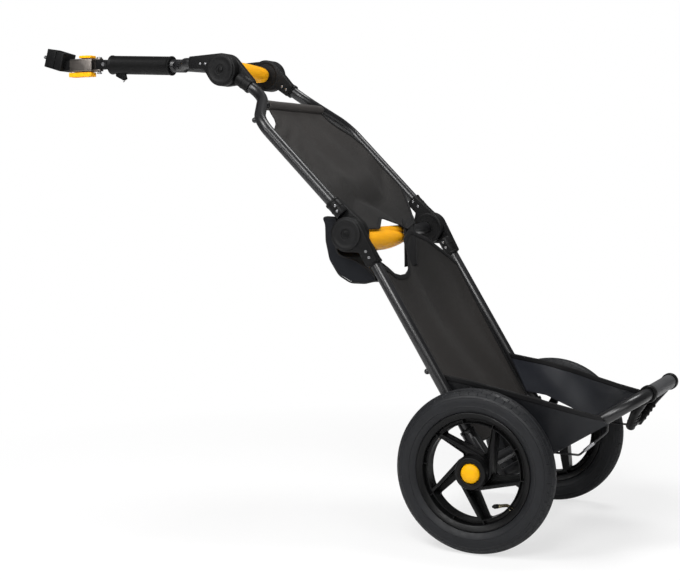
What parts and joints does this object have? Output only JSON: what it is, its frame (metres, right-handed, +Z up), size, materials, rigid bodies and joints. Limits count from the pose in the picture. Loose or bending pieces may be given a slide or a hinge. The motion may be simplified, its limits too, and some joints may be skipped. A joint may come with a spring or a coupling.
{
  "type": "bicycle trailer",
  "caption": "Folding two-wheeled cargo trailer with a slanted frame, fabric panels, a tipping load tray, quick-release wheels and a seat-post hitch.",
  "frame": {"origin": "centre of the seat-post bore in the hitch clamp, on the trailer's middle plane", "axes": "+X rearwards along the trailer, away from the bicycle; +Y to the trailer's right; +Z up; the trailer hangs as it does on the road, on its hitch and its wheels"},
  "size_m": [1.3917, 0.547, 0.9609],
  "materials": {
    "frame_paint": "gloss black powder coat on aluminium tube",
    "bar_paint": "satin black paint on a thin steel bar",
    "dropout": "satin black coated casting",
    "joint_plastic": "satin moulded nylon",
    "cap_plastic": "satin moulded nylon with a dished centre",
    "sleeve_plastic": "matt ribless sleeve",
    "clamp_plastic": "matt glass-filled nylon",
    "wheel_plastic": "semi-gloss moulded wheel",
    "stand_plastic": "matt moulded plastic",
    "sleeve_grey": "matt grey sleeve",
    "grip_yellow": "satin yellow-orange grip",
    "button_yellow": "satin yellow button",
    "steel": "zinc-plated steel",
    "aluminium": "bare satin aluminium box section",
    "tyre": "smooth road tread, satin sidewall",
    "inner_tube": "butyl rubber with a bent metal valve",
    "panel_fabric": "coated woven polyester",
    "wall_fabric": "coated woven polyester with a bound hem",
    "floor_fabric": "coated woven polyester",
    "pouch_fabric": "coated woven polyester with a gusset"
  },
  "bodies": {
    "lower_frame": {"lower_tube_left": "frame_paint", "lower_tube_right": "frame_paint", "axle_beam": "frame_paint", "dropout_left": "dropout", "dropout_right": "dropout", "mid_joint_lower_left": "joint_plastic", "mid_joint_lower_right": "joint_plastic", "mid_joint_cap_left": "cap_plastic", "mid_joint_cap_right": "cap_plastic", "stub_axle_left": "steel", "stub_axle_right": "steel", "tray_pin_left": "steel", "tray_pin_right": "steel", "lower_panel": "panel_fabric", "side_wall_left": "wall_fabric", "side_wall_right": "wall_fabric", "pouch": "pouch_fabric"},
    "wheel_left": {"tyre_left": "tyre", "inner_tube_left": "inner_tube", "spoked_wheel_left": "wheel_plastic", "bearings_left": "steel"},
    "wheel_right": {"tyre_right": "tyre", "inner_tube_right": "inner_tube", "spoked_wheel_right": "wheel_plastic", "bearings_right": "steel"},
    "button_left": {"release_button_left": "button_yellow"},
    "button_right": {"release_button_right": "button_yellow"},
    "mid_lock": {"mid_lock_bar": "bar_paint", "mid_twist_grip": "grip_yellow"},
    "upper_frame": {"upper_tube_left": "frame_paint", "upper_tube_right": "frame_paint", "upper_rail": "bar_paint", "mid_joint_upper_left": "joint_plastic", "mid_joint_upper_right": "joint_plastic", "top_joint_lower_left": "joint_plastic", "top_joint_lower_right": "joint_plastic", "upper_panel": "panel_fabric"},
    "top_lock": {"top_lock_bar": "bar_paint", "top_twist_grip": "grip_yellow"},
    "tow_bar": {"top_joint_upper_left": "joint_plastic", "top_joint_upper_right": "joint_plastic", "top_joint_cap_left": "cap_plastic", "top_joint_cap_right": "cap_plastic", "tow_yoke": "frame_paint", "tow_sleeve": "sleeve_plastic"},
    "swivel": {"swivel_fork": "steel", "pitch_pin": "steel"},
    "link": {"hitch_link": "joint_plastic"},
    "hitch_head": {"hitch_receiver": "aluminium", "yaw_pin": "steel", "clamp_rear": "clamp_plastic", "clamp_front": "clamp_plastic", "clamp_bolt_left": "steel", "clamp_bolt_right": "steel"},
    "tab_top": {"release_tab_top": "button_yellow"},
    "tab_bottom": {"release_tab_bottom": "button_yellow"},
    "tray": {"tray_tube": "frame_paint", "tray_floor": "floor_fabric", "bar_sleeve": "sleeve_grey"},
    "kickstand": {"kickstand": "stand_plastic"}
  },
  "joints": [
    {"name": "wheel_left_spin", "type": "hinge", "parent": "lower_frame", "child": "wheel_left", "pos_m": [1.07, -0.239, -0.786], "axis": [0, 1, 0], "continuous": true},
    {"name": "wheel_right_spin", "type": "hinge", "parent": "lower_frame", "child": "wheel_right", "pos_m": [1.07, 0.239, -0.786], "axis": [0, 1, 0], "continuous": true},
    {"name": "button_left_press", "type": "slide", "parent": "lower_frame", "child": "button_left", "axis": [0, 1, 0], "range_m": [0, 0.0035], "stiffness_N_per_m": 1500, "springref_m": -0.002},
    {"name": "button_right_press", "type": "slide", "parent": "lower_frame", "child": "button_right", "axis": [0, -1, 0], "range_m": [0, 0.0035], "stiffness_N_per_m": 1500, "springref_m": -0.002},
    {"name": "mid_fold", "type": "hinge", "parent": "lower_frame", "child": "upper_frame", "pos_m": [0.805, 0, -0.366], "axis": [0, -1, 0], "range_deg": [0, 150], "deforming": ["pouch"]},
    {"name": "mid_lock_turn", "type": "hinge", "parent": "lower_frame", "child": "mid_lock", "pos_m": [0.805, 0, -0.366], "axis": [0, -1, 0], "range_deg": [0, 45], "stiffness_Nm_per_rad": 0.8, "springref_deg": -11.46},
    {"name": "top_fold", "type": "hinge", "parent": "upper_frame", "child": "tow_bar", "pos_m": [0.474, 0, -0.042], "axis": [0, 1, 0], "range_deg": [-110, 0]},
    {"name": "top_lock_turn", "type": "hinge", "parent": "upper_frame", "child": "top_lock", "pos_m": [0.474, 0, -0.042], "axis": [0, -1, 0], "range_deg": [0, 45], "stiffness_Nm_per_rad": 0.5, "springref_deg": -11.46},
    {"name": "hitch_roll", "type": "hinge", "parent": "tow_bar", "child": "swivel", "pos_m": [0.1345, 0, -0.01304], "axis": [-0.9989, 0, 0.0478], "continuous": true},
    {"name": "hitch_pitch", "type": "hinge", "parent": "swivel", "child": "link", "pos_m": [0.1215, 0, -0.012], "axis": [0, 1, 0], "range_deg": [-30, 30]},
    {"name": "hitch_yaw", "type": "hinge", "parent": "link", "child": "hitch_head", "pos_m": [0.1025, 0, -0.012], "axis": [0, 0, 1], "range_deg": [-70, 70]},
    {"name": "tab_top_press", "type": "slide", "parent": "hitch_head", "child": "tab_top", "axis": [0, 0, -1], "range_m": [0, 0.0025], "stiffness_N_per_m": 1500, "springref_m": -0.002},
    {"name": "tab_bottom_press", "type": "slide", "parent": "hitch_head", "child": "tab_bottom", "axis": [0, 0, 1], "range_m": [0, 0.0025], "stiffness_N_per_m": 1500, "springref_m": -0.002},
    {"name": "tray_fold", "type": "hinge", "parent": "lower_frame", "child": "tray", "pos_m": [1.1, 0, -0.804], "axis": [0, -1, 0], "range_deg": [0, 86], "deforming": ["side_wall_left", "side_wall_right"]},
    {"name": "kickstand_turn", "type": "hinge", "parent": "tray", "child": "kickstand", "pos_m": [1.34513, 0, -0.64904], "axis": [0, -1, 0], "range_deg": [0, 71]}
  ]
}
